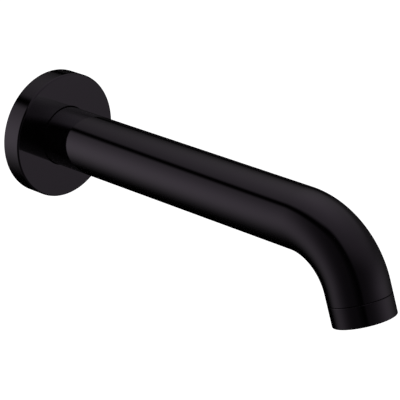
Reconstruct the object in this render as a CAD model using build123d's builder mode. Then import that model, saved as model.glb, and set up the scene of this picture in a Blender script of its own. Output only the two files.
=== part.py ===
"""Wall-mounted bath spout: a bent brass tube with a round wall flange and a screwed outlet ring.

The wall plane is Y = 0 and the spout stands out along -Y, with +Z up.
The origin is where the axis of the inlet meets the wall.
"""

import math
import os

from build123d import *

# Tube: straight from the wall, one bend down, and a short straight end.
TUBE_DIAMETER = 30
TUBE_WALL = 1.5
TUBE_SETBACK = 1.0  # room between the tube's end and the wall
STRAIGHT_LENGTH = 169  # from the wall to the start of the bend
BEND_RADIUS = 35
BEND_ANGLE = 71
END_LENGTH = 5.2  # from the end of the bend to the seam
SEAM_EDGE = 0.3  # bevel on both sides of the seam
SEAM_GAP = 0.05

# Wall flange: a turned cover plate with an open back and a hub that slides on the tube.
FLANGE_DIAMETER = 64
FLANGE_THICKNESS = 10.6
FLANGE_FACE = 2.6
FLANGE_RIM = 4.4
FLANGE_EDGE = 0.5
FLANGE_FIT = 0.15  # room between hub and tube
BORE_EDGE = 0.4
HUB_LENGTH = 8.0
HUB_WALL = 3.8

# Wall seal: a foam ring let into the back of the rim.
SEAL_WIDTH = 2.4
SEAL_THICKNESS = 2.2
SEAL_FIT = 0.1

# Rubber rings: square-cut, each squeezed between the floor of its groove and the wall opposite.
CONTACT_GAP = 0.02  # between a rubber ring and its seats
GROOVE_ROOM = 0.5  # spare width of a ring's groove
GRIP_HEIGHT = 1.6  # ring in the flange
GRIP_WIDTH = 2.2
SEALING_HEIGHT = 1.9  # two rings on the nipple
SEALING_WIDTH = 2.6
SPIGOT_SEAL_HEIGHT = 1.0  # ring on the outlet ring's spigot
SPIGOT_SEAL_WIDTH = 1.4

# Wall nipple: half-inch pipe thread, then a smooth barrel that the spout slides over.
THREAD_DIAMETER = 20.955
THREAD_LENGTH = 15
THREAD_CHAMFER = 1.2
BARREL_REACH = 20  # from the grub screw to the barrel's end
BARREL_CHAMFER = 1.2
NIPPLE_WALL = 4.0  # from the barrel's skin to the waterway
HEXAGON = 6  # sides of the key sockets and of the honeycomb's cells
HEX_DEPTH = 8.0
FRONT_RING_INSET = 6.0  # from the barrel's end to the middle of the front ring
RING_SPACING = 6.5

# Inlet sleeve: brazed into the wall end of the tube.
BRAZE_GAP = 0.05
SLEEVE_WALL = 3.35
BARREL_FIT = 0.1  # room between sleeve and barrel
SLEEVE_STOP_GAP = 0.3
SLEEVE_LIP = 2.0
SLEEVE_LIP_HEIGHT = 2.6

# Grub screw: from below, just in front of the flange, into a groove of the nipple.
SCREW_DIAMETER = 5
SCREW_OFFSET = 7.5  # from the flange's face to the screw
SCREW_RECESS = 0.5  # below the tube's skin
SCREW_POINT = 3.5  # diameter of the dog point
SCREW_POINT_LENGTH = 2.5
SCREW_KEY = 2.5
SCREW_KEY_DEPTH = 2.2
SCREW_FIT = 0.06
GROOVE_DEPTH = 1.5

# Outlet ring: same outside as the tube, screwed into its end.
RING_HEIGHT = 10
RING_WALL = 2.9  # around the flow straightener
RING_EDGE = 0.4
SPIGOT_SETBACK = 0.2  # keeps the spigot clear of the bend
SPIGOT_FIT = 0.06
SPIGOT_SEAL_INSET = 1.7  # from the spigot's end to the middle of its rubber ring
SHOULDER_WIDTH = 1.6

# Flow straightener: a threaded plastic housing that holds a honeycomb, under a flat washer.
HOUSING_HEIGHT = 7.0
HOUSING_WALL = 1.2
HOUSING_FIT = 0.1
HOUSING_RECESS = 1.0  # from the outlet's rim to the housing
LIP_WIDTH = 0.9
LIP_HEIGHT = 1.0
KEY_SLOTS = 6
KEY_SLOT_WIDTH = 2.4
KEY_SLOT_DEPTH = 0.7
INSERT_FIT = 0.1
INSERT_RIM = 0.8
CELL_RANGE = 3.7  # from the middle cell to the outermost ones, in cells
CELL_WALL = 0.45
WASHER_THICKNESS = 1.5
WASHER_WIDTH = 1.7
WASHER_FIT = 0.6  # lets the washer pass through the thread

# Radii and places that follow from the sizes above.
tube_radius = TUBE_DIAMETER / 2
tube_bore = tube_radius - TUBE_WALL
flange_radius = FLANGE_DIAMETER / 2
flange_bore = tube_radius + FLANGE_FIT
hub_radius = flange_bore + HUB_WALL
hub_start = FLANGE_THICKNESS - HUB_LENGTH
rim_radius = flange_radius - FLANGE_RIM
seal_seat = rim_radius + SEAL_WIDTH + SEAL_FIT
thread_radius = THREAD_DIAMETER / 2
screw_place = FLANGE_THICKNESS + SCREW_OFFSET
barrel_end = screw_place + BARREL_REACH
sleeve_radius = tube_bore - BRAZE_GAP
sleeve_bore = sleeve_radius - SLEEVE_WALL
barrel_radius = sleeve_bore - BARREL_FIT
nipple_bore = barrel_radius - NIPPLE_WALL
sleeve_stop = barrel_end + SLEEVE_STOP_GAP
sleeve_end = sleeve_stop + SLEEVE_LIP
screw_radius = SCREW_DIAMETER / 2
spigot_radius = tube_bore - SPIGOT_FIT
spigot_end = RING_HEIGHT + END_LENGTH - SPIGOT_SETBACK
housing_seat = tube_radius - RING_WALL
housing_radius = housing_seat - HOUSING_FIT
housing_top = HOUSING_RECESS + HOUSING_HEIGHT
shoulder_place = housing_top + WASHER_THICKNESS
waterway_radius = housing_seat - SHOULDER_WIDTH

# Seen from the side: the first axis runs out from the wall, the second one up.
wall = Plane.XZ
side = Plane(origin=(0, 0, 0), x_dir=(0, -1, 0), z_dir=(-1, 0, 0))
spout_axis = Axis.Y

with BuildLine(side) as centre_line:
    straight = Line((TUBE_SETBACK, 0), (STRAIGHT_LENGTH, 0))
    bend = JernArc(straight @ 1, straight % 1, BEND_RADIUS, -BEND_ANGLE)
    end = Line(bend @ 1, bend @ 1 + (bend % 1) * END_LENGTH)

# The outlet's own frame: its plane is the rim of the outlet ring, and it looks up the tube.
upstream = -(end % 1)
outlet_centre = end @ 1 - upstream * RING_HEIGHT
outlet = Plane(origin=outlet_centre, x_dir=(1, 0, 0), z_dir=upstream)
outlet_side = Plane(origin=outlet_centre, x_dir=upstream, z_dir=(1, 0, 0))
outlet_axis = Axis(outlet_centre, upstream)

# The grub screw's own frame: it looks down from the spout's axis.
screw_plane = Plane(origin=(0, -screw_place, 0), x_dir=(1, 0, 0), z_dir=(0, 0, -1))

grip_place = hub_start + HUB_LENGTH / 2
grip_groove = tube_radius + GRIP_HEIGHT + 2 * CONTACT_GAP

with BuildPart() as wall_flange:
    with BuildSketch(wall):
        Circle(flange_radius)
    extrude(amount=FLANGE_THICKNESS)
    front = wall_flange.faces().sort_by(Axis.Y)[0]
    chamfer(front.edges(), FLANGE_EDGE)
    with BuildSketch(wall):
        Circle(rim_radius)
        Circle(hub_radius, mode=Mode.SUBTRACT)
    extrude(amount=FLANGE_THICKNESS - FLANGE_FACE, mode=Mode.SUBTRACT)
    with BuildSketch(wall):
        Circle(hub_radius)
    extrude(amount=hub_start, mode=Mode.SUBTRACT)
    with BuildSketch(wall):
        Circle(seal_seat)
        Circle(hub_radius, mode=Mode.SUBTRACT)
    extrude(amount=SEAL_THICKNESS, mode=Mode.SUBTRACT)
    with BuildSketch(wall):
        Circle(flange_bore)
    extrude(amount=FLANGE_THICKNESS, mode=Mode.SUBTRACT)
    front = wall_flange.faces().sort_by(Axis.Y)[0]
    chamfer(front.inner_wires().edges(), BORE_EDGE)
    with BuildSketch(side):
        with Locations((grip_place, (flange_bore + grip_groove) / 2)):
            Rectangle(GRIP_WIDTH + GROOVE_ROOM, grip_groove - flange_bore)
    revolve(axis=spout_axis, mode=Mode.SUBTRACT)

with BuildPart() as wall_seal:
    with BuildSketch(wall):
        Circle(rim_radius + SEAL_WIDTH)
        Circle(rim_radius, mode=Mode.SUBTRACT)
    extrude(amount=SEAL_THICKNESS)

with BuildPart() as flange_grip_ring:
    with BuildSketch(side):
        with Locations((grip_place, tube_radius + CONTACT_GAP + GRIP_HEIGHT / 2)):
            Rectangle(GRIP_WIDTH, GRIP_HEIGHT)
    revolve(axis=spout_axis)

with BuildPart() as spout_tube:
    with BuildSketch(wall.offset(TUBE_SETBACK)):
        Circle(tube_radius)
        Circle(tube_bore, mode=Mode.SUBTRACT)
    sweep(path=centre_line.line)
    seam = spout_tube.faces().filter_by(GeomType.PLANE).sort_by(Axis.Z)[0]
    chamfer(seam.outer_wire().edges(), SEAM_EDGE)
    with BuildSketch(screw_plane):
        Circle(screw_radius + SCREW_FIT)
    extrude(amount=TUBE_DIAMETER, mode=Mode.SUBTRACT)

with BuildPart() as inlet_sleeve:
    with BuildSketch(side):
        with BuildLine():
            Polyline(
                (TUBE_SETBACK, sleeve_bore),
                (sleeve_stop, sleeve_bore),
                (sleeve_stop, sleeve_bore - SLEEVE_LIP_HEIGHT),
                (sleeve_end, sleeve_bore - SLEEVE_LIP_HEIGHT),
                (sleeve_end, sleeve_radius),
                (TUBE_SETBACK, sleeve_radius),
                close=True,
            )
        make_face()
    revolve(axis=spout_axis)
    with BuildSketch(screw_plane):
        Circle(screw_radius + SCREW_FIT)
    extrude(amount=TUBE_DIAMETER, mode=Mode.SUBTRACT)

sealing_groove = sleeve_bore - SEALING_HEIGHT - 2 * CONTACT_GAP
front_ring_place = barrel_end - FRONT_RING_INSET
rear_ring_place = front_ring_place - RING_SPACING
groove_floor = barrel_radius - GROOVE_DEPTH
point_radius = SCREW_POINT / 2

with BuildPart() as wall_nipple:
    with BuildSketch(side):
        with BuildLine():
            Polyline(
                (-THREAD_LENGTH, nipple_bore),
                (-THREAD_LENGTH, thread_radius - THREAD_CHAMFER),
                (-THREAD_LENGTH + THREAD_CHAMFER, thread_radius),
                (0, thread_radius),
                (0, barrel_radius),
                (barrel_end - BARREL_CHAMFER, barrel_radius),
                (barrel_end, barrel_radius - BARREL_CHAMFER),
                (barrel_end, nipple_bore),
                close=True,
            )
        make_face()
    revolve(axis=spout_axis)
    with BuildSketch(side):
        with Locations(
            (front_ring_place, (sealing_groove + barrel_radius) / 2),
            (rear_ring_place, (sealing_groove + barrel_radius) / 2),
        ):
            Rectangle(SEALING_WIDTH + GROOVE_ROOM, barrel_radius - sealing_groove)
        with Locations((screw_place, barrel_radius - GROOVE_DEPTH / 2)):
            Rectangle(SCREW_POINT + 2 * SCREW_FIT, GROOVE_DEPTH)
    revolve(axis=spout_axis, mode=Mode.SUBTRACT)
    with BuildSketch(wall.offset(barrel_end)):
        RegularPolygon(nipple_bore, side_count=HEXAGON, major_radius=False)
    extrude(amount=-HEX_DEPTH, mode=Mode.SUBTRACT)

nipple_rings = {
    "nipple_seal_front": front_ring_place,
    "nipple_seal_rear": rear_ring_place,
}
nipple_ring_parts = []
for ring_name, ring_place in nipple_rings.items():
    with BuildPart() as nipple_ring:
        with BuildSketch(side):
            with Locations((ring_place, sleeve_bore - CONTACT_GAP - SEALING_HEIGHT / 2)):
                Rectangle(SEALING_WIDTH, SEALING_HEIGHT)
        revolve(axis=spout_axis)
    nipple_ring.part.label = ring_name
    nipple_ring_parts.append(nipple_ring.part)

# The dog point of the screw stands just off the groove's floor and flanks.
screw_tip_place = groove_floor + SCREW_FIT
screw_head_place = tube_radius - SCREW_RECESS
screw_side = Plane(origin=screw_plane.origin, x_dir=screw_plane.z_dir, z_dir=(1, 0, 0))

with BuildPart() as grub_screw:
    with BuildSketch(screw_side):
        with BuildLine():
            Polyline(
                (screw_tip_place, 0),
                (screw_tip_place, point_radius),
                (screw_tip_place + SCREW_POINT_LENGTH, point_radius),
                (screw_tip_place + SCREW_POINT_LENGTH, screw_radius),
                (screw_head_place, screw_radius),
                (screw_head_place, 0),
                close=True,
            )
        make_face()
    revolve(axis=Axis(screw_plane.origin, screw_plane.z_dir))
    with BuildSketch(screw_plane.offset(screw_head_place)):
        RegularPolygon(SCREW_KEY / 2, side_count=HEXAGON, major_radius=False)
    extrude(amount=-SCREW_KEY_DEPTH, mode=Mode.SUBTRACT)

spigot_groove = tube_bore - SPIGOT_SEAL_HEIGHT - 2 * CONTACT_GAP
spigot_seal_place = spigot_end - SPIGOT_SEAL_INSET

with BuildPart() as outlet_ring:
    with BuildSketch(outlet):
        Circle(tube_radius)
    extrude(amount=RING_HEIGHT - SEAM_GAP)
    rims = outlet_ring.edges().filter_by(GeomType.CIRCLE).sort_by(outlet_axis)
    chamfer(rims[0], RING_EDGE)
    chamfer(rims[-1], SEAM_EDGE)
    with BuildSketch(outlet):
        Circle(spigot_radius)
    extrude(amount=spigot_end)
    with BuildSketch(outlet):
        Circle(housing_seat)
    extrude(amount=shoulder_place, mode=Mode.SUBTRACT)
    with BuildSketch(outlet):
        Circle(waterway_radius)
    extrude(amount=spigot_end, mode=Mode.SUBTRACT)
    with BuildSketch(outlet_side):
        with Locations((spigot_seal_place, (spigot_groove + spigot_radius) / 2)):
            Rectangle(SPIGOT_SEAL_WIDTH + GROOVE_ROOM, spigot_radius - spigot_groove)
    revolve(axis=outlet_axis, mode=Mode.SUBTRACT)

with BuildPart() as spigot_seal:
    with BuildSketch(outlet_side):
        with Locations((spigot_seal_place, tube_bore - CONTACT_GAP - SPIGOT_SEAL_HEIGHT / 2)):
            Rectangle(SPIGOT_SEAL_WIDTH, SPIGOT_SEAL_HEIGHT)
    revolve(axis=outlet_axis)

housing_bore = housing_radius - HOUSING_WALL

with BuildPart() as straightener_housing:
    with BuildSketch(outlet.offset(HOUSING_RECESS)):
        Circle(housing_radius)
        Circle(housing_bore - LIP_WIDTH, mode=Mode.SUBTRACT)
    extrude(amount=HOUSING_HEIGHT)
    with BuildSketch(outlet.offset(HOUSING_RECESS + LIP_HEIGHT)):
        Circle(housing_bore)
    extrude(amount=HOUSING_HEIGHT - LIP_HEIGHT, mode=Mode.SUBTRACT)
    with BuildSketch(outlet.offset(HOUSING_RECESS)):
        with PolarLocations(housing_radius, KEY_SLOTS):
            Rectangle(housing_radius, KEY_SLOT_WIDTH)
    extrude(amount=KEY_SLOT_DEPTH, mode=Mode.SUBTRACT)

insert_radius = housing_bore - INSERT_FIT
cell_pitch = (insert_radius - INSERT_RIM) / (CELL_RANGE + 1 / 2)
cell_width = cell_pitch - CELL_WALL
cell_rows = math.ceil(CELL_RANGE) + 1
cell_steps = range(-cell_rows, cell_rows + 1)
cell_grid = [
    Vector(cell_pitch * row * math.sqrt(3) / 2, cell_pitch * (column + row / 2))
    for row in cell_steps
    for column in cell_steps
]
cell_centres = [centre for centre in cell_grid if centre.length <= CELL_RANGE * cell_pitch]

with BuildPart() as honeycomb_insert:
    with BuildSketch(outlet.offset(HOUSING_RECESS + LIP_HEIGHT)):
        Circle(insert_radius)
        with Locations(*cell_centres):
            RegularPolygon(cell_width / 2, side_count=HEXAGON, major_radius=False, mode=Mode.SUBTRACT)
    extrude(amount=HOUSING_HEIGHT - LIP_HEIGHT)

washer_radius = housing_seat - WASHER_FIT

with BuildPart() as straightener_washer:
    with BuildSketch(outlet.offset(housing_top)):
        Circle(washer_radius)
        Circle(washer_radius - WASHER_WIDTH, mode=Mode.SUBTRACT)
    extrude(amount=WASHER_THICKNESS)

wall_flange.part.label = "wall_flange"
wall_seal.part.label = "wall_seal"
flange_grip_ring.part.label = "flange_grip_ring"
spout_tube.part.label = "spout_tube"
inlet_sleeve.part.label = "inlet_sleeve"
wall_nipple.part.label = "wall_nipple"
grub_screw.part.label = "grub_screw"
outlet_ring.part.label = "outlet_ring"
spigot_seal.part.label = "spigot_seal"
straightener_housing.part.label = "straightener_housing"
honeycomb_insert.part.label = "honeycomb_insert"
straightener_washer.part.label = "straightener_washer"

os.makedirs("parts", exist_ok=True)
for piece in (
    wall_flange.part,
    wall_seal.part,
    flange_grip_ring.part,
    spout_tube.part,
    inlet_sleeve.part,
    wall_nipple.part,
    *nipple_ring_parts,
    grub_screw.part,
    outlet_ring.part,
    spigot_seal.part,
    straightener_housing.part,
    honeycomb_insert.part,
    straightener_washer.part,
):
    export_step(piece, f"parts/{piece.label}.step")
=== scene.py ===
"""Looks of a wall-mounted bath spout in gloss black: wall fitting, tube, flange and outlet, then the studio."""

import math

import bpy
import numpy as np
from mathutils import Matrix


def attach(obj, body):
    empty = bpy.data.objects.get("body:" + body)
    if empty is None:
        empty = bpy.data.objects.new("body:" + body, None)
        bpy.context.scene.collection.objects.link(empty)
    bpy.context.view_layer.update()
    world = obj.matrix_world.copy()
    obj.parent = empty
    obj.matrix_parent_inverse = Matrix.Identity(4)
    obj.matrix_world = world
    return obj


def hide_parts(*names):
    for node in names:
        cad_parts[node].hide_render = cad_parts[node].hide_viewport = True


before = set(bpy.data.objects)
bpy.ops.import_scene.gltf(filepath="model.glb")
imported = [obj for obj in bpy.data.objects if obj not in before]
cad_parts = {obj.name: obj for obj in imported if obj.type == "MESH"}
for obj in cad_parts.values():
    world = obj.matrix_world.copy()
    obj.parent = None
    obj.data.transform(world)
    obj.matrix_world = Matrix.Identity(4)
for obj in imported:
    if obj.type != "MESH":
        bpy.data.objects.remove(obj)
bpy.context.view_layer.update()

# Wall nipple: the brass adaptor that screws into the supply in the wall and carries the spout.
# It is turned from bar: a half-inch pipe thread, a smooth barrel with two grooves for rubber rings
# and one for the grub screw, and a hexagon broached into its front end for the key.
MM = 0.001
OUT = np.array([0.0, -1.0, 0.0])
UP = np.array([0.0, 0.0, 1.0])
WALL_CENTRE = np.zeros(3)

THREAD_RADIUS = 10.4775
THREAD_PITCH = 1.814
THREAD_DEPTH = 1.162
THREAD_LENGTH = 15.0
THREAD_CHAMFER = 1.2
BARREL_RADIUS = 10.0
BARREL_END = 38.1
BARREL_CHAMFER = 1.2
NIPPLE_BORE = 5.98
KEY_RADIUS = 6.0
KEY_DEPTH = 8.0
RING_GROOVES = (25.6, 32.1)
RING_GROOVE_WIDTH = 3.1
RING_GROOVE_FLOOR = 8.16
SCREW_PLACE = 18.1
SCREW_GROOVE_WIDTH = 3.62
SCREW_GROOVE_FLOOR = 8.5
NIPPLE_TURNS = 144

BRASS = (0.72, 0.53, 0.25)
BRASS_TARNISH = (0.52, 0.35, 0.15)
LATHE_RINGS = 5200.0
LATHE_RING_DEPTH = 0.006

# An eased corner's flats begin this many eases from the corner.
FLAT_START = 1.3


def eased(corners, steps=5):
    """Outline of a turned piece from its corners (distance along the axis, radius, ease).

    A corner with an ease e becomes a quarter-round: it starts and ends e away from the corner, and runs on the
    quadratic curve between those two points with the corner as its control point. A point just outside each end
    keeps the flat beside it flat when it is shaded.
    """
    place = np.array([corner[:2] for corner in corners], float)
    back = np.roll(place, 1, axis=0) - place
    ahead = np.roll(place, -1, axis=0) - place
    back /= np.linalg.norm(back, axis=1)[:, None]
    ahead /= np.linalg.norm(ahead, axis=1)[:, None]
    t = np.linspace(0, 1, steps + 1)[:, None]
    outline = []
    for corner, (_, _, e), b, a in zip(place, corners, back, ahead):
        if e == 0:
            outline.append(corner[None])
        else:
            curve = (1 - t) ** 2 * (corner + b * e) + 2 * t * (1 - t) * corner + t**2 * (corner + a * e)
            outline += [(corner + b * e * FLAT_START)[None], curve, (corner + a * e * FLAT_START)[None]]
    return np.concatenate(outline)


def once_round(turns):
    """Angles of that many equal turns, in radians from the top."""
    return np.linspace(0, 2 * np.pi, turns, endpoint=False)


def turned(along, radius, turns, centre=WALL_CENTRE, axis=OUT, up=UP):
    """Grid of points of a turned shape: each row of the outline is carried round the axis.

    A point at distance a along the axis and radius r, turned by the angle t from up, lies at
    centre + a axis + r (cos t up + sin t side). a and r are columns, or grids where the shape changes with t.
    """
    side = np.cross(up, axis)
    t = once_round(turns)
    spoke = np.cos(t)[:, None] * up + np.sin(t)[:, None] * side
    along = np.broadcast_to(along, (len(along), turns))
    radius = np.broadcast_to(radius, (len(radius), turns))
    return MM * (np.asarray(centre) + along[..., None] * axis + radius[..., None] * spoke)


def cells(rows, turns, looped=True):
    """Four-sided faces between neighbouring rows and turns of a grid, as corner numbers. The turns always close,
    and the rows do where they are looped."""
    number = np.arange(rows * turns).reshape(rows, turns)
    ahead = np.roll(number, -1, axis=0)
    quads = np.stack([number, ahead, np.roll(ahead, -1, axis=1), np.roll(number, -1, axis=1)], axis=-1)
    return quads if looped else quads[:-1]


def mesh_object(name, points, faces, finishes):
    """Object at the origin, with its place in its mesh."""
    mesh = bpy.data.meshes.new(name)
    mesh.from_pydata(points.reshape(-1, 3).tolist(), [], faces)
    for finish in finishes:
        mesh.materials.append(finish)
    made = bpy.data.objects.new(name, mesh)
    bpy.context.scene.collection.objects.link(made)
    return made


def piece(node, points, faces, finishes, finish_of_face=None, crease=40):
    """The look of one solid: shaded smooth but for edges sharper than the crease angle.

    It rides on the spout's one body, and stands for the solid of that name.
    """
    made = mesh_object("look_" + node, points, faces, finishes)
    if finish_of_face is not None:
        made.data.polygons.foreach_set("material_index", np.asarray(finish_of_face, np.int32))
    made.data.polygons.foreach_set("use_smooth", np.ones(len(made.data.polygons), bool))
    made.data.set_sharp_from_angle(angle=math.radians(crease))
    made.data.update()
    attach(made, "root")
    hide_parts(node)


def turned_piece(node, corners, finish, slot, turns=96, **axis):
    """A ring-shaped piece: its eased outline carried once round the axis."""
    outline = eased(corners)
    grid = turned(outline[:, :1], outline[:, 1:], turns, **axis)
    piece(node, grid, cells(len(outline), turns).reshape(-1, 4).tolist(), [finish])


def thread_crest(along, turn, pitch):
    """Height of a thread, 0 at the root and 1 at the crest: a wave of one pitch that moves on by one pitch each turn.

    The wave is a triangle whose tips are rounded by the smooth step 3 w^2 - 2 w^3.
    """
    phase = (along / pitch + turn / (2 * np.pi)) % 1.0
    w = 1 - np.abs(2 * phase - 1)
    return w * w * (3 - 2 * w)


def hexagon(across, turn):
    """Radius of a hexagonal socket at each angle: half its width across the flats, over the cosine of the angle
    to the middle of the nearest flat."""
    return across / 2 / np.cos((turn + np.pi / 6) % (np.pi / 3) - np.pi / 6)


class Wire:
    """A node's output in a material that is being made. Sums and products of wires add Math nodes to it."""

    def __init__(self, tree, socket=None):
        self.tree, self.socket = tree, socket

    def node(self, kind, settings=None, inputs=None, output=0):
        """Adds a node: its settings first, then the value or the wire for each of its sockets."""
        made = self.tree.nodes.new(kind)
        for key, value in (settings or {}).items():
            setattr(made, key, value)
        for key, value in (inputs or {}).items():
            if isinstance(value, Wire):
                self.tree.links.new(value.socket, made.inputs[key])
            else:
                made.inputs[key].default_value = value
        return Wire(self.tree, made.outputs[output] if made.outputs else None)

    def out(self, name):
        """Another output of the same node."""
        return Wire(self.tree, self.socket.node.outputs[name])

    def math(self, operation, *others):
        """Math node on this wire and the others."""
        return self.node("ShaderNodeMath", {"operation": operation}, dict(enumerate((self, *others))))

    def __add__(self, other):
        return self.math("ADD", other)

    def __sub__(self, other):
        return self.math("SUBTRACT", other)

    def __rsub__(self, other):
        return self.node("ShaderNodeMath", {"operation": "SUBTRACT"}, {0: other, 1: self})

    def __mul__(self, other):
        return self.math("MULTIPLY", other)

    def __truediv__(self, other):
        return self.math("DIVIDE", other)

    def __rtruediv__(self, other):
        return self.node("ShaderNodeMath", {"operation": "DIVIDE"}, {0: other, 1: self})

    def __neg__(self):
        return self * -1

    __radd__, __rmul__ = __add__, __mul__

    def step(self, low, high):
        """Smooth step: 0 where the wire is below low, 1 above high."""
        ends = {"Value": self, "From Min": low, "From Max": high}
        return self.node("ShaderNodeMapRange", {"interpolation_type": "SMOOTHSTEP"}, ends)

    def blend(self, first, second):
        """Colour from the first to the second as this wire goes from 0 to 1, on the Mix node's colour sockets."""
        ends = {0: self, 6: (*first, 1.0), 7: (*second, 1.0)}
        return self.node("ShaderNodeMix", {"data_type": "RGBA"}, ends, output=2)

    def vector(self, operation, other, output=0):
        """This vector and another one through a Vector Math node."""
        return self.node("ShaderNodeVectorMath", {"operation": operation}, {0: self, 1: tuple(other)}, output)


def new_finish(name):
    """An empty material and the wire of its object's coordinates."""
    material = bpy.data.materials.new(name)
    material.use_nodes = True
    material.node_tree.nodes.clear()
    return material, Wire(material.node_tree).node("ShaderNodeTexCoord", output="Object")


def grain(place, waves, detail):
    """Noise of that many waves a metre over the surface, from 0 to 1."""
    return place.node("ShaderNodeTexNoise", {}, {"Vector": place, "Scale": waves, "Detail": detail})


def surface(place, height, depth, sockets):
    """Principled surface with a bump of that depth in mm, joined to the material's output."""
    bump = place.node("ShaderNodeBump", {}, {"Height": height, "Distance": MM * depth})
    shader = place.node("ShaderNodeBsdfPrincipled", {}, {**sockets, "Normal": bump})
    place.node("ShaderNodeOutputMaterial", {}, {"Surface": shader})


def turned_brass(name, axis):
    """Bare brass as the lathe leaves it: fine rings across the axis, and a light brown tarnish in patches."""
    material, place = new_finish(name)
    along = place.vector("DOT_PRODUCT", axis, "Value")
    waves = {"W": along, "Scale": LATHE_RINGS, "Detail": 2.0}
    rings = place.node("ShaderNodeTexNoise", {"noise_dimensions": "1D"}, waves)
    tarnish = grain(place, waves=140.0, detail=4.0).step(0.42, 0.72)
    sockets = {
        "Base Color": (0.7 * tarnish).blend(BRASS, BRASS_TARNISH),
        "Metallic": 1.0,
        "Roughness": 0.2 + 0.12 * rings + 0.14 * tarnish,
    }
    surface(place, rings, LATHE_RING_DEPTH, sockets)
    return material


def groove(middle, width, floor, ease):
    """Corners of a square groove in the barrel, with a small ease on its edges and this one on its floor."""
    start, end = middle - width / 2, middle + width / 2
    return [(start, BARREL_RADIUS, 0.1), (start, floor, ease), (end, floor, ease), (end, BARREL_RADIUS, 0.1)]


brass = turned_brass("bare_turned_brass", OUT)

thread_rows = np.arange(-THREAD_LENGTH + THREAD_CHAMFER, -0.3, THREAD_PITCH / 10)
nipple_outline = eased(
    [(-THREAD_LENGTH, THREAD_RADIUS - THREAD_CHAMFER, 0)]
    + [(along, THREAD_RADIUS, 0) for along in thread_rows]
    + [(0, THREAD_RADIUS, 0.15), (0, BARREL_RADIUS, 0)]
    + groove(SCREW_PLACE, SCREW_GROOVE_WIDTH, SCREW_GROOVE_FLOOR, 0)
    + groove(RING_GROOVES[0], RING_GROOVE_WIDTH, RING_GROOVE_FLOOR, 0.1)
    + groove(RING_GROOVES[1], RING_GROOVE_WIDTH, RING_GROOVE_FLOOR, 0.1)
    + [(BARREL_END - BARREL_CHAMFER, BARREL_RADIUS, 0.2), (BARREL_END, BARREL_RADIUS - BARREL_CHAMFER, 0.1)]
    + [(BARREL_END, KEY_RADIUS, 0), (BARREL_END - KEY_DEPTH, KEY_RADIUS, 0)]
    + [(BARREL_END - KEY_DEPTH, NIPPLE_BORE, 0), (-THREAD_LENGTH, NIPPLE_BORE, 0.4)]
)
nipple_turn = once_round(NIPPLE_TURNS)
along, radius = nipple_outline[:, :1], nipple_outline[:, 1:]
runout = np.clip(-along / THREAD_PITCH, 0, 1)
cut = THREAD_RADIUS - THREAD_DEPTH * runout * (1 - thread_crest(along, nipple_turn, THREAD_PITCH))
is_thread = (along < -0.01) & (radius > BARREL_RADIUS - THREAD_CHAMFER)
is_key = radius == KEY_RADIUS
nipple_radius = np.where(is_thread, np.minimum(radius, cut), radius)
nipple_radius = np.where(is_key, hexagon(2 * KEY_RADIUS, nipple_turn), nipple_radius)
piece(
    "wall_nipple",
    turned(along, nipple_radius, NIPPLE_TURNS),
    cells(len(nipple_outline), NIPPLE_TURNS).reshape(-1, 4).tolist(),
    [brass],
)

# Nipple seals: two square-cut rubber rings in the barrel's grooves.
# They are moulded in black nitrile rubber, and squeezed between the groove and the spout's sleeve.
SEAL_WIDTH, SEAL_INNER, SEAL_OUTER, SEAL_EASE = 2.6, 8.18, 10.08, 0.5

RUBBER = (0.020, 0.020, 0.021)
RUBBER_BLOOM = (0.036, 0.036, 0.038)

rubber, place = new_finish("moulded_rubber")
bloom = grain(place, waves=320.0, detail=3.0)
sockets = {"Base Color": bloom.blend(RUBBER, RUBBER_BLOOM), "Roughness": 0.58 + 0.2 * bloom, "IOR": 1.52}
surface(place, grain(place, waves=6000.0, detail=2.0), 0.02, sockets)


def rubber_ring(node, start, width, inner, outer, ease, **axis):
    """A rubber ring of four eased corners round the axis."""
    corners = [(start, outer, ease), (start + width, outer, ease), (start + width, inner, ease), (start, inner, ease)]
    turned_piece(node, corners, rubber, "seal_rubber", **axis)


for node, middle in zip(("nipple_seal_rear", "nipple_seal_front"), RING_GROOVES):
    rubber_ring(node, middle - SEAL_WIDTH / 2, SEAL_WIDTH, SEAL_INNER, SEAL_OUTER, SEAL_EASE)

# Spout tube: drawn brass tube, bent down once near its end and finished in gloss black outside.
# Its bore stays bare, and a hole is drilled from below, just in front of the flange, for the grub screw.
TUBE_RADIUS = 15.0
TUBE_BORE = 13.5
TUBE_START = 1.0
STRAIGHT_END = 169.0
BEND_RADIUS = 35.0
BEND_ANGLE = math.radians(71)
BEND_END = STRAIGHT_END + BEND_RADIUS * BEND_ANGLE
TUBE_END = BEND_END + 5.2
BEND_STEPS = 58
SEAM_EDGE = 0.3
HOLE_RADIUS = 2.56
TUBE_TURNS = 160

# The hole takes the place of a square of cells, this many each way from its middle and this far in mm.
# The cells round it are pulled along, out to so many times the square's half-width.
HOLE_HALF = 4
HOLE_REACH = 2.2
HOLE_PULL = 2.6

LACQUER = (0.0009, 0.0007, 0.0009)
LACQUER_DEEP = (0.0005, 0.0004, 0.0005)
LACQUER_TINT = (0.95, 0.85, 1.0, 1.0)

lacquer, place = new_finish("gloss_black")
cloud = grain(place, waves=45.0, detail=3.0)
sockets = {
    "Base Color": cloud.blend(LACQUER_DEEP, LACQUER),
    "Roughness": 0.028 + 0.03 * cloud,
    "IOR": 1.5,
    "Specular Tint": LACQUER_TINT,
}
surface(place, grain(place, waves=420.0, detail=1.0), 0.0012, sockets)


def centre_line(station):
    """Distance from the wall, height and slope of the tube's centre line, at a distance measured along it.

    It is level up to the bend, then a circle of the bend's radius, then straight on with the bend's last slope.
    """
    slope = np.clip((station - STRAIGHT_END) / BEND_RADIUS, 0, BEND_ANGLE)
    past = np.maximum(station - BEND_END, 0)
    out = np.minimum(station, STRAIGHT_END) + BEND_RADIUS * np.sin(slope) + past * np.cos(slope)
    height = -BEND_RADIUS * (1 - np.cos(slope)) - past * np.sin(slope)
    return out, height, slope


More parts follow.
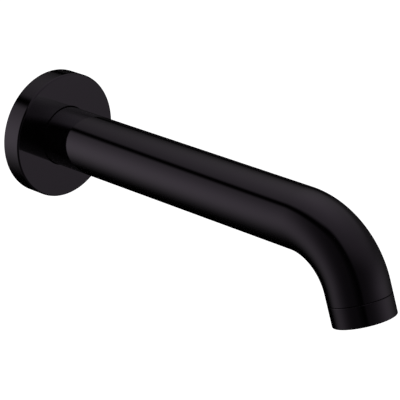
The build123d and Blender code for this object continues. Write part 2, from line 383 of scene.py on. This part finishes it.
def tube_skin(station, radius, turn):
    """Points of a tube round the centre line: a spoke of that radius, turned from the top by the angle turn,
    stands square to the line's slope."""
    out, height, slope = centre_line(station)
    reach = radius * np.cos(turn)
    return MM * np.stack([radius * np.sin(turn), -out - reach * np.sin(slope), height + reach * np.cos(slope)], axis=-1)


def round_hole(station, radius, turn):
    """Moves the grid so that a square of cells at the bottom has a round edge, the drilled hole's.

    Measured in half-widths of the square, a point is m = max(|p|, |q|) from the hole's middle. At m = 1 it goes on
    the circle of the hole in its own direction, and at the end of the pull it is back in its place.
    """
    half_turn = HOLE_HALF * 2 * np.pi / TUBE_TURNS
    p = (turn - np.pi) / half_turn
    q = (station - SCREW_PLACE) / HOLE_REACH
    m = np.maximum(np.abs(p), np.abs(q))
    far = np.hypot(p, q) + 1e-9
    pull = np.clip((HOLE_PULL - m) / (HOLE_PULL - 1), 0, 1)
    pull = pull * pull * (3 - 2 * pull)
    across = pull * HOLE_RADIUS * m * p / far + (1 - pull) * radius * np.sin(p * half_turn)
    along = pull * HOLE_RADIUS * m * q / far + (1 - pull) * q * HOLE_REACH
    near = m < HOLE_PULL
    turn = np.where(near, np.pi + np.arcsin(np.clip(across / radius, -1, 1)), turn)
    return np.where(near, SCREW_PLACE + along, station), turn


beside_hole = np.array([1.4, 1.8, 2.2, 2.7])
across_hole = np.concatenate([-beside_hole[::-1], np.linspace(-1, 1, 2 * HOLE_HALF + 1), beside_hole])
before_hole = np.array([TUBE_START + 0.3, 4.0, 8.0, 11.0])
stations = np.concatenate(
    [
        before_hole,
        SCREW_PLACE + HOLE_REACH * across_hole,
        np.arange(28.0, STRAIGHT_END - 2, 5.0),
        np.linspace(STRAIGHT_END, BEND_END, BEND_STEPS),
        [BEND_END + 2.0, TUBE_END - 1.0, TUBE_END - SEAM_EDGE - 0.1],
    ]
)
wall_edge = [(TUBE_START, TUBE_RADIUS - 0.3), (TUBE_START + 0.1, TUBE_RADIUS - 0.13)]
seam_edge = [(TUBE_END - SEAM_EDGE, TUBE_RADIUS), (TUBE_END, TUBE_RADIUS - SEAM_EDGE), (TUBE_END, TUBE_BORE)]
tube_outline = np.concatenate(
    [
        wall_edge,
        np.column_stack([stations, np.full(len(stations), TUBE_RADIUS)]),
        seam_edge,
        np.column_stack([stations[::-1], np.full(len(stations), TUBE_BORE)]),
        [(TUBE_START, TUBE_BORE)],
    ]
)
tube_rows = len(tube_outline)
station, radius, turn = np.broadcast_arrays(tube_outline[:, :1], tube_outline[:, 1:], once_round(TUBE_TURNS))
station, turn = round_hole(station, radius, turn)
tube_grid = tube_skin(station, radius, turn)

hole_rows = 2 * HOLE_HALF
hole_station = len(before_hole) + len(beside_hole)
outer_first = len(wall_edge) + hole_station
bore_first = len(wall_edge) + len(stations) + len(seam_edge)
inner_first = bore_first + len(stations) - 1 - (hole_station + hole_rows)
hole_left, hole_right = TUBE_TURNS // 2 - HOLE_HALF, TUBE_TURNS // 2 + HOLE_HALF
kept = np.ones((tube_rows, TUBE_TURNS), bool)
kept[outer_first : outer_first + hole_rows, hole_left:hole_right] = False
kept[inner_first : inner_first + hole_rows, hole_left:hole_right] = False


def hole_edge(first_row, last_row):
    """Corner numbers once round the hole's edge, from the first row to the last one and back."""
    step = 1 if last_row > first_row else -1
    rows = np.arange(first_row, last_row, step)
    turns = np.arange(hole_left, hole_right)
    loop = [
        np.column_stack([np.full(len(turns), first_row), turns]),
        np.column_stack([rows, np.full(len(rows), hole_right)]),
        np.column_stack([np.full(len(turns), last_row), turns[::-1] + 1]),
        np.column_stack([rows[::-1] + step, np.full(len(rows), hole_left)]),
    ]
    return np.concatenate(loop) @ (TUBE_TURNS, 1)


outer_edge = hole_edge(outer_first, outer_first + hole_rows)
inner_edge = hole_edge(inner_first + hole_rows, inner_first)
hole_wall = np.stack([outer_edge, inner_edge, np.roll(inner_edge, -1), np.roll(outer_edge, -1)], axis=1)
is_bare = np.concatenate([np.nonzero(kept)[0] >= bore_first - 1, np.ones(len(hole_wall), bool)])
used, tube_faces = np.unique(np.concatenate([cells(tube_rows, TUBE_TURNS)[kept], hole_wall]), return_inverse=True)
piece(
    "spout_tube",
    tube_grid.reshape(-1, 3)[used],
    tube_faces.reshape(-1, 4).tolist(),
    [lacquer, brass],
    finish_of_face=is_bare,
)

# Inlet sleeve: the turned brass sleeve that is brazed into the tube's wall end and slides over the nipple.
# Its solid already has its shape, so it keeps that and takes the turned brass.
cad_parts["inlet_sleeve"].data.materials[0] = brass

# Grub screw: a stainless set screw with a dog point and a hexagon socket, from below the tube.
# It is rolled and left plain, and its point stands in the nipple's groove, so the spout can't slide off.
SCREW_TIP = 8.56
SCREW_BODY = 11.06
SCREW_HEAD = 14.5
SCREW_POINT_RADIUS = 1.75
SCREW_RADIUS = 2.5
SCREW_PITCH = 0.8
SCREW_THREAD_DEPTH = 0.43
SCREW_KEY_RADIUS = 1.25
SCREW_KEY_DEPTH = 2.2
POINT_EDGE = 0.2
THREAD_START = 0.45
HEAD_EDGE = 0.25
SCREW_TURNS = 72

STEEL = (0.55, 0.55, 0.56)
STEEL_DULL = (0.42, 0.42, 0.43)

steel, place = new_finish("plain_stainless_steel")
wear = grain(place, waves=900.0, detail=3.0)
sockets = {"Base Color": wear.blend(STEEL, STEEL_DULL), "Metallic": 1.0, "Roughness": 0.24 + 0.16 * wear}
surface(place, grain(place, waves=9000.0, detail=2.0), 0.003, sockets)

screw_outline = np.array(
    [(SCREW_TIP, SCREW_POINT_RADIUS - POINT_EDGE), (SCREW_TIP + POINT_EDGE, SCREW_POINT_RADIUS)]
    + [(SCREW_BODY, SCREW_POINT_RADIUS), (SCREW_BODY, SCREW_RADIUS - THREAD_START)]
    + [(along, SCREW_RADIUS) for along in np.arange(SCREW_BODY + 0.05, SCREW_HEAD - 0.3, SCREW_PITCH / 8)]
    + [(SCREW_HEAD - HEAD_EDGE, SCREW_RADIUS), (SCREW_HEAD, SCREW_RADIUS - HEAD_EDGE)]
    + [(SCREW_HEAD, SCREW_KEY_RADIUS + HEAD_EDGE), (SCREW_HEAD - POINT_EDGE, SCREW_KEY_RADIUS)]
    + [(SCREW_HEAD - SCREW_KEY_DEPTH, SCREW_KEY_RADIUS)]
)
screw_turn = once_round(SCREW_TURNS)
along, radius = screw_outline[:, :1], screw_outline[:, 1:]
rolled = SCREW_RADIUS - SCREW_THREAD_DEPTH * (1 - thread_crest(along, screw_turn, SCREW_PITCH))
screw_radius = np.where(radius == SCREW_RADIUS, rolled, radius)
screw_radius = np.where(radius == SCREW_KEY_RADIUS, hexagon(2 * SCREW_KEY_RADIUS, screw_turn), screw_radius)
screw_rows = len(screw_outline)
tip_face = np.arange(SCREW_TURNS)
socket_floor = (screw_rows - 1) * SCREW_TURNS + tip_face[::-1]
piece(
    "grub_screw",
    turned(along, screw_radius, SCREW_TURNS, centre=SCREW_PLACE * OUT, axis=-UP, up=-OUT),
    cells(screw_rows, SCREW_TURNS, looped=False).reshape(-1, 4).tolist() + [tip_face.tolist(), socket_floor.tolist()],
    [steel],
)

# Wall flange: the round cover plate that slides on the tube and is pushed up to the wall.
# It is turned in brass with an open back and a hub, and finished in gloss black outside.
FLANGE_RADIUS = 32.0
FLANGE_FRONT = 10.6
FLANGE_BEVEL = 0.65
FLANGE_BORE = 15.15
GRIP_GROOVE_START, GRIP_GROOVE_END, GRIP_GROOVE_FLOOR = 5.25, 7.95, 16.64
HUB_BACK, HUB_RADIUS = 2.6, 18.95
RECESS_FLOOR, RECESS_RADIUS = 8.0, 27.6
SEAL_SEAT_DEPTH, SEAL_SEAT_RADIUS = 2.2, 30.1
FLANGE_STEPS = 6
FLANGE_TURNS = 192

flange_outside = [
    (0.0, FLANGE_RADIUS, 0.25),
    (FLANGE_FRONT - FLANGE_BEVEL, FLANGE_RADIUS, 0.15),
    (FLANGE_FRONT, FLANGE_RADIUS - FLANGE_BEVEL, 0.15),
    (FLANGE_FRONT, FLANGE_BORE, 0.4),
]
flange_inside = [
    (GRIP_GROOVE_END, FLANGE_BORE, 0),
    (GRIP_GROOVE_END, GRIP_GROOVE_FLOOR, 0),
    (GRIP_GROOVE_START, GRIP_GROOVE_FLOOR, 0),
    (GRIP_GROOVE_START, FLANGE_BORE, 0),
    (HUB_BACK, FLANGE_BORE, 0.3),
    (HUB_BACK, HUB_RADIUS, 0.3),
    (RECESS_FLOOR, HUB_RADIUS, 0.5),
    (RECESS_FLOOR, RECESS_RADIUS, 0.5),
    (SEAL_SEAT_DEPTH, RECESS_RADIUS, 0.15),
    (SEAL_SEAT_DEPTH, SEAL_SEAT_RADIUS, 0),
    (0.0, SEAL_SEAT_RADIUS, 0.15),
]


def rows_taken(corners, steps=5):
    """How many rows of an eased outline those corners take: one for a sharp corner, and three more than the steps
    for an eased one."""
    return sum(1 if ease == 0 else steps + 3 for _, _, ease in corners)


flange_outline = eased(flange_outside + flange_inside, FLANGE_STEPS)
flange_is_bare = np.arange(len(flange_outline)) >= rows_taken(flange_outside, FLANGE_STEPS)
piece(
    "wall_flange",
    turned(flange_outline[:, :1], flange_outline[:, 1:], FLANGE_TURNS),
    cells(len(flange_outline), FLANGE_TURNS).reshape(-1, 4).tolist(),
    [lacquer, brass],
    finish_of_face=np.repeat(flange_is_bare, FLANGE_TURNS),
)

# Flange grip ring: a rubber ring in the hub's groove, of the same black rubber as the seals.
# It grips the tube, and so holds the flange where it was pushed to.
rubber_ring("flange_grip_ring", start=5.5, width=2.2, inner=15.02, outer=16.62, ease=0.35)

# Wall seal: a ring punched from closed-cell foam and let into the back of the flange's rim.
# It is pressed against the wall, and keeps splashes out of the hole behind the flange.
FOAM_OUTER, FOAM_INNER, FOAM_DEPTH = 30.0, 27.6, 2.2

FOAM = (0.060, 0.060, 0.062)
FOAM_CELL = (0.110, 0.110, 0.112)

foam, place = new_finish("closed_cell_foam")
bubble = place.node("ShaderNodeTexVoronoi", {"feature": "F1"}, {"Vector": place, "Scale": 2600.0}).step(0.1, 0.75)
sockets = {"Base Color": bubble.blend(FOAM, FOAM_CELL), "Roughness": 0.95 - 0.1 * bubble, "IOR": 1.45}
surface(place, bubble, 0.12, sockets)

foam_corners = [
    (0.0, FOAM_OUTER, 0.3),
    (FOAM_DEPTH, FOAM_OUTER, 0.2),
    (FOAM_DEPTH, FOAM_INNER, 0.2),
    (0.0, FOAM_INNER, 0.3),
]
turned_piece("wall_seal", foam_corners, foam, "seal_foam", turns=160)

# Outlet ring: the short ring at the outlet, turned in brass with the tube's outside and the same gloss black.
# It is screwed into the tube's end, where both edges are bevelled, so a fine dark seam shows.
RING_HEIGHT = 10.0
RING_TOP = 9.95
SPIGOT_END, SPIGOT_RADIUS = 15.0, 13.44
SPIGOT_GROOVE_START, SPIGOT_GROOVE_END, SPIGOT_GROOVE_FLOOR = 12.35, 14.25, 12.46
RING_WATERWAY = 10.5
HOUSING_SEAT_DEPTH, HOUSING_SEAT_RADIUS = 9.5, 12.1

out, height, slope = (float(value) for value in centre_line(TUBE_END))
upstream = np.array([0.0, math.cos(slope), math.sin(slope)])
ring_up = np.array([0.0, -math.sin(slope), math.cos(slope)])
outlet_axis = {"centre": out * OUT + height * UP - RING_HEIGHT * upstream, "axis": upstream, "up": ring_up}

outlet_brass = turned_brass("bare_turned_brass_outlet", upstream)
ring_outside = [(0.0, TUBE_RADIUS, 0.4), (RING_TOP, TUBE_RADIUS, 0.3)]
ring_inside = [
    (RING_TOP, SPIGOT_RADIUS, 0),
    (SPIGOT_GROOVE_START, SPIGOT_RADIUS, 0),
    (SPIGOT_GROOVE_START, SPIGOT_GROOVE_FLOOR, 0),
    (SPIGOT_GROOVE_END, SPIGOT_GROOVE_FLOOR, 0),
    (SPIGOT_GROOVE_END, SPIGOT_RADIUS, 0),
    (SPIGOT_END, SPIGOT_RADIUS, 0.2),
    (SPIGOT_END, RING_WATERWAY, 0.2),
    (HOUSING_SEAT_DEPTH, RING_WATERWAY, 0.2),
    (HOUSING_SEAT_DEPTH, HOUSING_SEAT_RADIUS, 0),
]
ring_mouth = [(0.0, HOUSING_SEAT_RADIUS, 0.35)]
ring_outline = eased(ring_outside + ring_inside + ring_mouth)
ring_row = np.arange(len(ring_outline)) - rows_taken(ring_outside)
ring_is_bare = (ring_row >= 0) & (ring_row < rows_taken(ring_inside))
piece(
    "outlet_ring",
    turned(ring_outline[:, :1], ring_outline[:, 1:], TUBE_TURNS, **outlet_axis),
    cells(len(ring_outline), TUBE_TURNS).reshape(-1, 4).tolist(),
    [lacquer, outlet_brass],
    finish_of_face=np.repeat(ring_is_bare, TUBE_TURNS),
)

# Spigot seal and washer: a rubber ring round the outlet ring's spigot, and a flat washer above the straightener.
# The first seals the ring in the tube. The housing presses the second on the ring's shoulder.
rubber_ring("spigot_seal", start=12.6, width=1.4, inner=12.48, outer=13.48, ease=0.25, **outlet_axis)
rubber_ring("straightener_washer", start=8.0, width=1.5, inner=9.8, outer=11.5, ease=0.15, **outlet_axis)

# Flow straightener: a screw-in housing and a honeycomb, moulded in pale grey plastic.
# A key turns the housing by its slots. Both solids already have their shape, and take the moulded plastic.
PLASTIC = (0.56, 0.57, 0.57)
PLASTIC_SHADE = (0.49, 0.50, 0.50)

plastic, place = new_finish("moulded_grey_plastic")
flow = grain(place, waves=260.0, detail=3.0)
sockets = {"Base Color": flow.blend(PLASTIC, PLASTIC_SHADE), "Roughness": 0.38 + 0.14 * flow, "IOR": 1.49}
surface(place, grain(place, waves=7000.0, detail=2.0), 0.008, sockets)
for node in ("straightener_housing", "honeycomb_insert"):
    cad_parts[node].data.materials[0] = plastic

# Light tent: a round tent of white cloth that the spout mirrors, seen by reflections alone.
# Its doorway has a black hem, a round soft light stands in the doorway, one softbox hangs overhead and
# one stands low in front, and a black flag keeps the underside dark.
TENT_CENTRE = np.array([207.0, -137.0, -263.0])
TENT_RADIUS = 1078.0
TENT_ROWS, TENT_TURNS = 64, 128
TENT_WHITE = (1.0, 0.93, 1.0)
TENT_LEVEL = 1.13
DEGREE = 180 / math.pi

# Directions on the tent are degrees from its middle: the azimuth from +Y towards +X, and the height over the horizon.
tent_cloth, place = new_finish("light_tent")
ray = place.vector("SUBTRACT", MM * TENT_CENTRE)
ray = ray.node("ShaderNodeVectorMath", {"operation": "NORMALIZE"}, {0: ray})
axes = ray.node("ShaderNodeSeparateXYZ", {}, {0: ray})
azimuth = DEGREE * axes.out("X").math("ARCTAN2", axes.out("Y"))
elevation = DEGREE * axes.out("Z").math("ARCSINE")


def away_from(az, el):
    """Angle in degrees between a place on the tent and the direction of that azimuth and elevation."""
    az, el = math.radians(az), math.radians(el)
    aim = (math.sin(az) * math.cos(el), math.cos(az) * math.cos(el), math.sin(el))
    return DEGREE * ray.vector("DOT_PRODUCT", aim, "Value").math("ARCCOSINE")


def softbox(level, az, el, spread):
    """A soft light on the tent: its level falls off from the middle as a bell curve of that spread in degrees."""
    off = away_from(az, el) / spread
    return level * (-0.5 * off * off).math("EXPONENT")


# To the right of the doorway's top the hem sinks slowly, on a bell curve. To the left it is a quarter of an ellipse
# down to a leg, and the height over it is the ellipse's value, less one, over its steepness. Behind the cloth's
# edge there is no hem, so there the height is a large one.
DOOR_AZ, DOOR_WIDTH, DOOR_TOP = -99.3, 30.2, 48.6
DOOR_RIGHT, DOOR_FALL = 21.8, 120.0
CLOTH_EDGE = 60.0
past_top = azimuth - DOOR_AZ
fall = past_top / DOOR_FALL
over_right = elevation - DOOR_RIGHT - (DOOR_TOP - DOOR_RIGHT) * (-fall * fall).math("EXPONENT")
across, upward = past_top / DOOR_WIDTH, elevation.math("MAXIMUM", 0.0) / DOOR_TOP
ellipse = (across * across + upward * upward + 1e-6).math("SQRT")
across, upward = across / DOOR_WIDTH, upward / DOOR_TOP
steepness = (across * across + upward * upward + 1e-9).math("SQRT") / ellipse
over_left = (ellipse - 1) / steepness
is_right = past_top.math("GREATER_THAN", 0.0)
is_behind = azimuth.math("GREATER_THAN", CLOTH_EDGE)
over_hem = is_right * over_right + (1 - is_right) * over_left + 99 * is_behind

# Half the hem's width and how softly it ends on its two sides, in degrees: along the right, then what the doorway's
# top adds, then what the leg adds.
HEM_HALF = (3.34, 1.89, 2.73)
HEM_SOFT_OUTSIDE = (2.52, 2.11, 0.0)
HEM_SOFT_INSIDE = (3.06, 0.15, 9.29)
to_top = (-azimuth).step(30.0, 86.0)
to_leg = (-azimuth).step(90.0, 125.0)


def along_hem(right, top, leg):
    """A width along the hem: the right's, with the top's and the leg's share added as it gets there."""
    return right + top * to_top + leg * to_leg


half_hem = along_hem(*HEM_HALF)
soft_outside, soft_inside = along_hem(*HEM_SOFT_OUTSIDE), along_hem(*HEM_SOFT_INSIDE)
outside = over_hem.step(half_hem - soft_outside, half_hem + soft_outside)
inside = (-over_hem).step(half_hem - soft_inside, half_hem + soft_inside)

# What the tent shows: cloth that is paler higher up, the doorway's dim room, and the soft lights.
CLOTH_LEVEL, CLOTH_HIGH = 0.05, 0.147
DOORWAY_LEVEL = 0.052
overhead = softbox(level=0.432, az=-20.0, el=81.0, spread=23.4)
low_front = softbox(level=0.431, az=155.9, el=3.0, spread=24.1)
in_doorway = softbox(level=1.163, az=-40.1, el=8.2, spread=20.3)
cloth = CLOTH_LEVEL + CLOTH_HIGH * elevation.step(30.8, 56.4) + overhead + low_front
doorway = DOORWAY_LEVEL + in_doorway
flag = away_from(az=17.9, el=-23.8).step(23.4, 103.4)
level = TENT_LEVEL * flag * (outside * cloth + inside * doorway)


def light(level, white):
    """Light of that colour, as bright as the level says."""
    colour = level.node("ShaderNodeVectorMath", {"operation": "SCALE"}, {0: white, "Scale": level})
    return level.node("ShaderNodeEmission", {}, {"Color": colour})


def only_mirrored(made):
    """Leaves a studio object to reflections alone. Its light is found by them, so none is aimed at the spout."""
    made.visible_camera = made.visible_diffuse = made.visible_transmission = made.visible_shadow = False
    made.data.materials[0].cycles.emission_sampling = "NONE"


place.node("ShaderNodeOutputMaterial", {}, {"Surface": light(level, TENT_WHITE)})
lift = np.linspace(0, np.pi, TENT_ROWS)[:, None]
tent_grid = turned(TENT_RADIUS * np.cos(lift), TENT_RADIUS * np.sin(lift), TENT_TURNS, TENT_CENTRE, UP, OUT)
tent_faces = cells(TENT_ROWS, TENT_TURNS, looped=False).reshape(-1, 4).tolist()
only_mirrored(mesh_object("light_tent", tent_grid, tent_faces, [tent_cloth]))

# Flange card: a round card with a hole, pushed over the tube a hand's breadth from the flange, white towards the wall.
# It fills the reflections that flange and tube cast on each other, and nothing mirrors it straight.
CARD_PLACE = 75.0
CARD_HOLE, CARD_RADIUS = 18.0, 130.0
CARD_TURNS = 64
CARD_WHITE = (1.0, 1.0, 1.0)

# The card is brighter higher up, in three steps, and dims to both sides. Heights and sides are in metres.
card_white, place = new_finish("flange_card")
axes = place.node("ShaderNodeSeparateXYZ", {}, {0: place})
side, high = axes.out("X"), axes.out("Z")
upward = 0.2 + 0.75 * high.step(-0.02, 0.01) + 1.35 * high.step(0.0, 0.045) + 2.5 * high.step(0.06, 0.095)
sideward = side.step(-0.062, -0.028) * (1 - 0.55 * side.step(0.02, 0.075))
is_second = place.node("ShaderNodeLightPath", output="Glossy Depth").math("GREATER_THAN", 1.5)
is_white_side = 1 - place.node("ShaderNodeNewGeometry", output="Backfacing")
clear = place.node("ShaderNodeBsdfTransparent")
sides = {0: is_second * is_white_side, 1: clear, 2: light(upward * sideward, CARD_WHITE)}
card = place.node("ShaderNodeMixShader", {}, sides)
place.node("ShaderNodeOutputMaterial", {}, {"Surface": card})
card_grid = turned(np.full((2, 1), CARD_PLACE), np.array([[CARD_HOLE], [CARD_RADIUS]]), CARD_TURNS)
card_faces = cells(2, CARD_TURNS, looped=False).reshape(-1, 4).tolist()
only_mirrored(mesh_object("flange_card", card_grid, card_faces, [card_white]))

# Wall card: a round white card close behind the flange, where the wall would be, for the bare brass to mirror.
# It fades to black towards its rim, and the flange hides it from the tube.
WALL_CARD_PLACE = -30.0
WALL_CARD_HOLE, WALL_CARD_WHITE, WALL_CARD_RADIUS = 1.0, 28.0, 42.0
WALL_CARD_LEVEL = 0.8

wall_card_white, place = new_finish("wall_card")
axes = place.node("ShaderNodeSeparateXYZ", {}, {0: place})
side, high = axes.out("X"), axes.out("Z")
off_axis = (side * side + high * high).math("SQRT")
level = WALL_CARD_LEVEL * (1 - off_axis.step(MM * WALL_CARD_WHITE, MM * WALL_CARD_RADIUS))
place.node("ShaderNodeOutputMaterial", {}, {"Surface": light(level, CARD_WHITE)})
wall_card_rims = np.array([[WALL_CARD_HOLE], [WALL_CARD_RADIUS]])
wall_card_grid = turned(np.full((2, 1), WALL_CARD_PLACE), wall_card_rims, CARD_TURNS)
only_mirrored(mesh_object("wall_card", wall_card_grid, card_faces, [wall_card_white]))

# Floor, room and lamp: a plain white floor well below the spout, an even white room, and one large lamp from the
# upper left. The camera sees floor and room as white, and the floor still takes the spout's shadow.
FLOOR_LEVEL = -1.40
FLOOR_REACH = 8.0
FLOOR_WHITE = (0.8, 0.8, 0.8, 1.0)
FLOOR_GLOW = (0.6, 0.6, 0.6)
ROOM_LIGHT, ROOM_WHITE = 0.65, (1.0, 1.0, 1.0)
LAMP_PLACE = (-1.3, -1.2, 1.5)
LAMP_TILT, LAMP_TURN = math.radians(48), math.radians(-47)
LAMP_SIZE, LAMP_WATTS = 1.2, 14.0


def shown(start):
    """1 for the rays that see the room as white: the camera's, reflections, and what shows through glass."""
    path = start.node("ShaderNodeLightPath")
    rays = path.out("Is Camera Ray") + path.out("Is Glossy Ray") + path.out("Is Transmission Ray")
    return rays.math("MINIMUM", 1.0)


floor_white, place = new_finish("white_floor")
matt = place.node("ShaderNodeBsdfDiffuse", {}, {"Color": FLOOR_WHITE})
both = place.node("ShaderNodeAddShader", {}, {0: light(shown(place), FLOOR_GLOW), 1: matt})
place.node("ShaderNodeOutputMaterial", {}, {"Surface": both})
floor_corners = np.array([[-1, -1], [1, -1], [1, 1], [-1, 1]]) * FLOOR_REACH
floor_grid = np.column_stack([floor_corners, np.full(4, FLOOR_LEVEL)])
mesh_object("floor", floor_grid, [(0, 1, 2, 3)], [floor_white])

room = bpy.data.worlds.new("white_room")
room.use_nodes = True
room.node_tree.nodes.clear()
air = Wire(room.node_tree)
room_level = ROOM_LIGHT + (1 - ROOM_LIGHT) * shown(air)
room_colour = air.node("ShaderNodeVectorMath", {"operation": "SCALE"}, {0: ROOM_WHITE, "Scale": room_level})
sky = air.node("ShaderNodeBackground", {}, {"Color": room_colour})
air.node("ShaderNodeOutputWorld", {}, {"Surface": sky})
bpy.context.scene.world = room

lamp_light = bpy.data.lights.new("large_lamp", "AREA")
lamp_light.shape, lamp_light.size, lamp_light.energy = "DISK", LAMP_SIZE, LAMP_WATTS
lamp = bpy.data.objects.new("large_lamp", lamp_light)
lamp.location = LAMP_PLACE
lamp.rotation_euler = (LAMP_TILT, 0.0, LAMP_TURN)
lamp.visible_glossy = False
bpy.context.scene.collection.objects.link(lamp)

# Camera: from the front left and above, at the distance and angle of view of the photograph.
# It stands back from the point that it aims at, along the direction of its azimuth and elevation.
VIEW_AZIMUTH, VIEW_ELEVATION = math.radians(-45.956), math.radians(21.817)
VIEW_DISTANCE = 0.86109
VIEW_AIM = np.array([0.0, -0.10502, -0.008972])
VIEW_ANGLE = math.radians(12.588)

level_back = np.array([math.sin(VIEW_AZIMUTH), -math.cos(VIEW_AZIMUTH), 0.0])
backward = math.cos(VIEW_ELEVATION) * level_back + math.sin(VIEW_ELEVATION) * UP
camera_data = bpy.data.cameras.new("camera")
camera_data.sensor_fit = "HORIZONTAL"
camera_data.angle = VIEW_ANGLE
camera = bpy.data.objects.new("camera", camera_data)
camera.location = VIEW_AIM + VIEW_DISTANCE * backward
camera.rotation_euler = (math.pi / 2 - VIEW_ELEVATION, 0.0, VIEW_AZIMUTH)
bpy.context.scene.collection.objects.link(camera)
bpy.context.scene.camera = camera
bpy.context.scene.view_settings.view_transform = "Standard"
